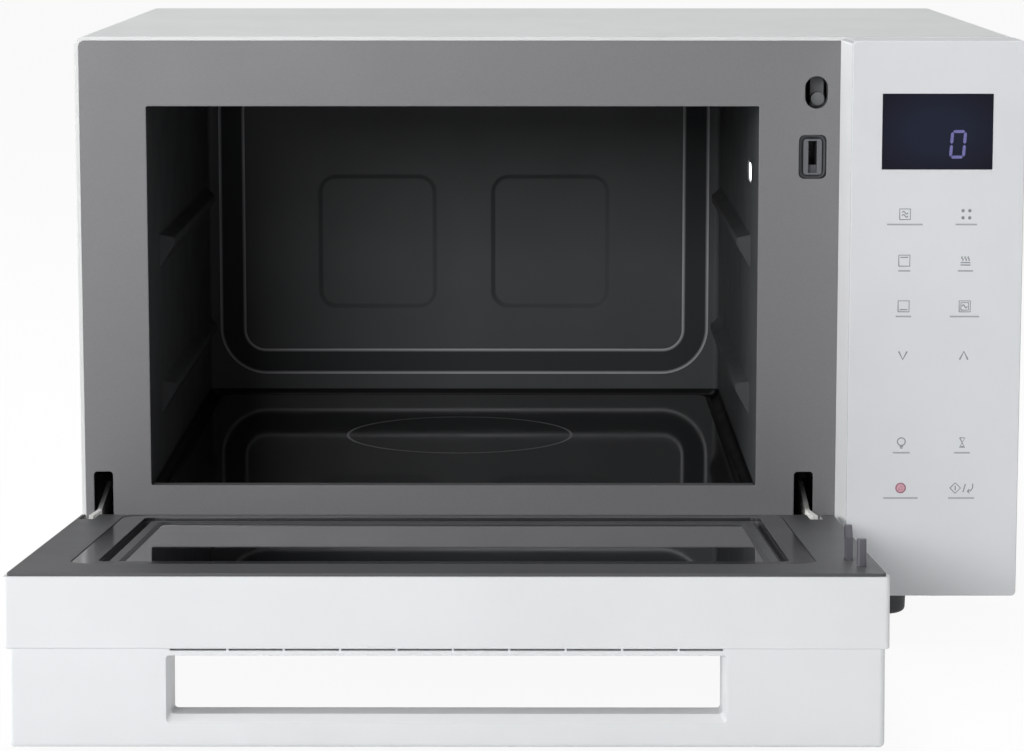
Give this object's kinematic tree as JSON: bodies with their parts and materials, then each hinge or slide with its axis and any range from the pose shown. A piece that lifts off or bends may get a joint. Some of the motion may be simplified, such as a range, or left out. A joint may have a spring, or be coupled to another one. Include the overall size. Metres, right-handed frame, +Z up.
{
  "type": "combination microwave oven",
  "caption": "Countertop combination microwave oven with an open drop-down door, full-width door handle, flat ceramic oven floor and a touch control panel at the right.",
  "frame": {"origin": "middle of the part's footprint on the worktop, with the door open as stored: centre of the bounding box at the feet's bottom", "axes": "+Z up, the door opens towards -Y, +X to the right as seen from the front"},
  "size_m": [0.483, 0.6502, 0.31],
  "materials": {
    "white_enamel": "satin powder-coated steel",
    "white_plastic": "smooth white plastic",
    "grey_paint": "satin grey paint",
    "dark_enamel": "dark grey fired enamel, semi-gloss",
    "black_ceramic": "polished black with a printed ring",
    "seal_rubber": "matt",
    "bright_steel": "bright zinc plate",
    "zinc_steel": "galvanised sheet",
    "heater_steel": "dull, darkened",
    "cast_alloy": "extruded",
    "ferrite": "matt",
    "circuit_board": "solder resist",
    "black_plastic": "moulded",
    "grey_plastic": "moulded",
    "dark_grey_plastic": "satin",
    "gloss_dark_plastic": "polished",
    "dark_glass": "polished, backed dark",
    "clear_glass": "clear",
    "foot_rubber": "satin dark grey"
  },
  "bodies": {
    "cabinet": {"cabinet_cover": "white_enamel", "rear_panel": "zinc_steel", "base_plate": "zinc_steel", "front_frame": "grey_paint", "feet": "foot_rubber", "cabinet_screws": "zinc_steel", "cord_gland": "black_plastic", "cavity_liner": "dark_enamel", "floor_plate": "black_ceramic", "floor_seal": "seal_rubber", "grill_heater": "heater_steel", "heater_clips": "heater_steel", "stirrer_motor": "zinc_steel", "waveguide": "zinc_steel", "magnetron": "zinc_steel", "inverter_board": "circuit_board", "inverter_heat_sink": "cast_alloy", "inverter_transformer": "ferrite", "noise_filter": "circuit_board", "fan_housing": "black_plastic", "fan_motor": "zinc_steel", "air_guide": "black_plastic", "lamp_cover": "clear_glass", "lamp_holder": "zinc_steel", "oven_lamp": "clear_glass", "thermostats": "black_plastic", "latch_housing": "black_plastic", "latch_socket": "grey_plastic", "door_switches": "black_plastic", "hinge_plates": "bright_steel", "panel_fascia": "white_plastic", "display_window": "dark_glass", "display_module": "black_plastic", "touch_sensor": "circuit_board", "control_board": "circuit_board"},
    "door": {"door_shell": "white_plastic", "door_outer_glass": "dark_glass", "door_inner_frame": "dark_grey_plastic", "door_choke_cover": "gloss_dark_plastic", "door_bezel": "dark_grey_plastic", "door_inner_glass": "dark_glass", "door_screen": "heater_steel", "door_choke_frame": "zinc_steel", "door_handle": "white_plastic", "hook_pin": "bright_steel", "hook_spring": "bright_steel", "switch_block": "grey_plastic", "hinge_pins": "bright_steel"},
    "latch_hook": {"latch_hook": "grey_plastic"},
    "door_plunger": {"door_plunger": "grey_plastic"},
    "fan_rotor": {"fan_rotor": "white_plastic"},
    "stirrer": {"stirrer_antenna": "bright_steel", "stirrer_shaft": "white_plastic"}
  },
  "joints": [
    {"name": "door_hinge", "type": "hinge", "parent": "cabinet", "child": "door", "pos_m": [0, -0.05829, 0.045], "axis": [-1, 0, 0], "range_deg": [0, 85]},
    {"name": "latch_hook_lift", "type": "hinge", "parent": "door", "child": "latch_hook", "pos_m": [0.1374, -0.26183, 0.07054], "axis": [1, 0, 0], "range_deg": [0, 4], "stiffness_Nm_per_rad": 0.3, "springref_deg": -11.46},
    {"name": "door_plunger_push", "type": "hinge", "parent": "cabinet", "child": "door_plunger", "pos_m": [0.1406, -0.01409, 0.291], "axis": [1, 0, 0], "range_deg": [0, 12], "stiffness_Nm_per_rad": 0.2, "springref_deg": -11.46},
    {"name": "fan_spin", "type": "hinge", "parent": "cabinet", "child": "fan_rotor", "pos_m": [0.178, 0.29661, 0.168], "axis": [0, 1, 0], "continuous": true},
    {"name": "stirrer_spin", "type": "hinge", "parent": "cabinet", "child": "stirrer", "pos_m": [-0.04775, 0.14591, 0.0566], "axis": [0, 0, 1], "continuous": true}
  ]
}
